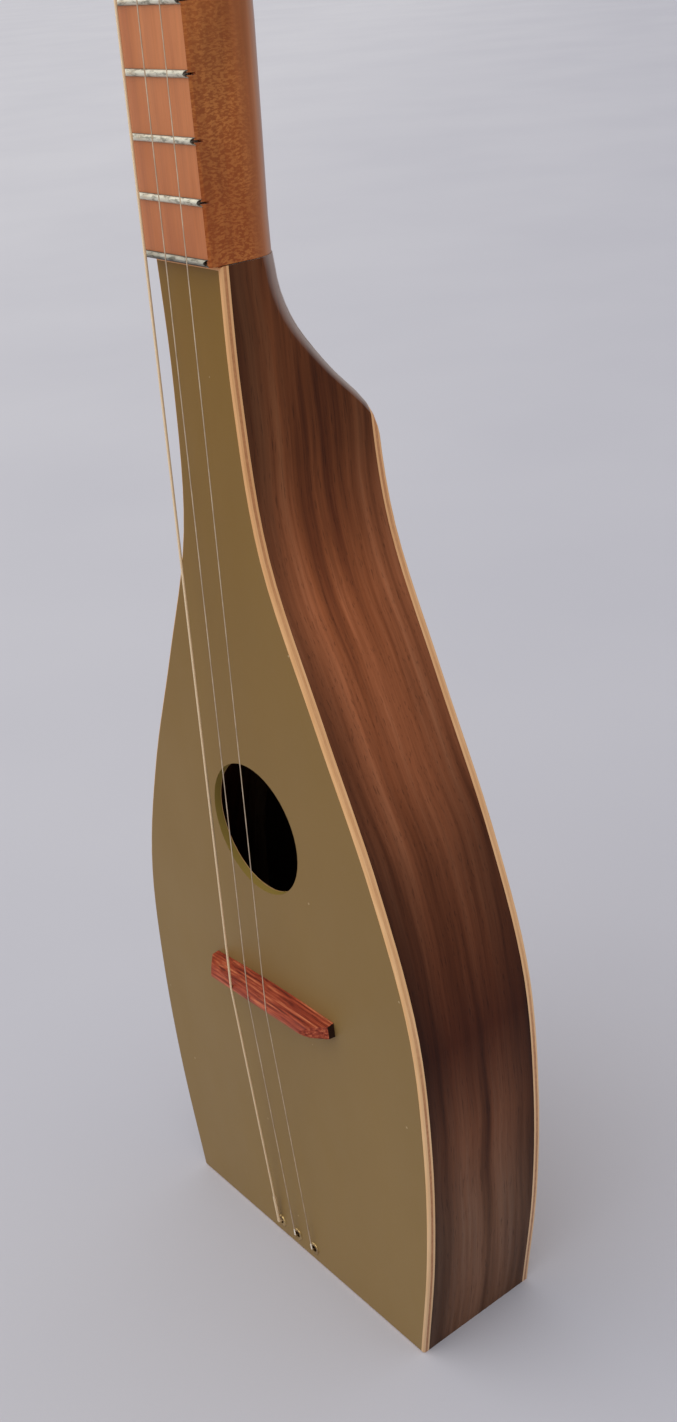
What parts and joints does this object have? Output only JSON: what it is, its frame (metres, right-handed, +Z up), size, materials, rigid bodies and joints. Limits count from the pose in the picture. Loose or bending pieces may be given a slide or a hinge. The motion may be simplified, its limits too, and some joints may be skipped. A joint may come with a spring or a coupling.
{
  "type": "stick_dulcimer",
  "caption": "Fretted stick dulcimer: pear-shaped flat-tailed soundbox, olive painted top, walnut sides, one-piece neck, wooden bridge, worm-geared tuners",
  "frame": {"origin": "centre of the flat tail face, at half width and half depth of the soundbox", "axes": "+Z up the neck, +X to the right seen from the front, front (strings) faces -Y, back faces +Y"},
  "size_m": [0.1776, 0.0703, 0.9006],
  "materials": {
    "olive_paint": "satin olive-gold paint over birch plywood",
    "plywood": "satin lacquer, plies showing at the edges",
    "walnut": "satin oil, straight lengthwise grain",
    "spruce": "bare",
    "lacewood": "satin oil, ray fleck on the sides",
    "padauk": "satin oil",
    "nickel": "polished nickel silver",
    "steel": "satin nickel plate",
    "string_steel": "bright drawn wire",
    "brass": "polished",
    "bronze": "wound bronze wire",
    "ivory_plastic": "gloss"
  },
  "bodies": {
    "instrument": {"top_plate": "olive_paint", "back_plate": "plywood", "bridge_patch": "plywood", "side_left": "walnut", "side_right": "walnut", "tail_block": "walnut", "heel_block": "walnut", "lining_front_left": "spruce", "lining_front_right": "spruce", "lining_back_left": "spruce", "lining_back_right": "spruce", "brace_upper": "spruce", "brace_lower": "spruce", "neck": "lacewood", "nut": "padauk", "bridge": "padauk", "fret_1": "nickel", "fret_2": "nickel", "fret_3": "nickel", "fret_4": "nickel", "fret_5": "nickel", "fret_6": "nickel", "fret_7": "nickel", "fret_8": "nickel", "fret_9": "nickel", "fret_10": "nickel", "fret_11": "nickel", "fret_12": "nickel", "fret_13": "nickel", "fret_14": "nickel", "ferrule_1": "brass", "ball_end_1": "brass", "tuner_plate_1": "steel", "bushing_1": "nickel", "string_1": "bronze", "ferrule_2": "brass", "ball_end_2": "brass", "tuner_plate_2": "steel", "bushing_2": "nickel", "string_2": "string_steel", "ferrule_3": "brass", "ball_end_3": "brass", "tuner_plate_3": "steel", "bushing_3": "nickel", "string_3": "string_steel"},
    "tuner_shaft_1": {"worm_1": "steel", "button_1": "ivory_plastic"},
    "tuner_post_1": {"post_1": "steel", "gear_screw_1": "nickel", "winding_1": "bronze"},
    "tuner_shaft_2": {"worm_2": "steel", "button_2": "ivory_plastic"},
    "tuner_post_2": {"post_2": "steel", "gear_screw_2": "nickel", "winding_2": "string_steel"},
    "tuner_shaft_3": {"worm_3": "steel", "button_3": "ivory_plastic"},
    "tuner_post_3": {"post_3": "steel", "gear_screw_3": "nickel", "winding_3": "string_steel"}
  },
  "joints": [
    {"name": "button_turn_1", "type": "hinge", "parent": "instrument", "child": "tuner_shaft_1", "pos_m": [-0.013, -0.00099, 0.81961], "axis": [1, 0, 0], "continuous": true},
    {"name": "post_turn_1", "type": "hinge", "parent": "instrument", "child": "tuner_post_1", "pos_m": [-0.013, -0.01846, 0.83035], "axis": [0, 0.9757, -0.219], "continuous": true},
    {"name": "button_turn_2", "type": "hinge", "parent": "instrument", "child": "tuner_shaft_2", "pos_m": [-0.013, 0.00733, 0.85669], "axis": [1, 0, 0], "continuous": true},
    {"name": "post_turn_2", "type": "hinge", "parent": "instrument", "child": "tuner_post_2", "pos_m": [-0.013, -0.01014, 0.86743], "axis": [0, 0.9757, -0.219], "continuous": true},
    {"name": "button_turn_3", "type": "hinge", "parent": "instrument", "child": "tuner_shaft_3", "pos_m": [0.013, 0.00317, 0.83815], "axis": [1, 0, 0], "continuous": true},
    {"name": "post_turn_3", "type": "hinge", "parent": "instrument", "child": "tuner_post_3", "pos_m": [0.013, -0.0143, 0.84889], "axis": [0, 0.9757, -0.219], "continuous": true}
  ],
  "couplings": [
    {"joint": "post_turn_1", "follows": "button_turn_1", "ratio": 0.071429},
    {"joint": "post_turn_2", "follows": "button_turn_2", "ratio": 0.071429},
    {"joint": "post_turn_3", "follows": "button_turn_3", "ratio": 0.071429}
  ]
}
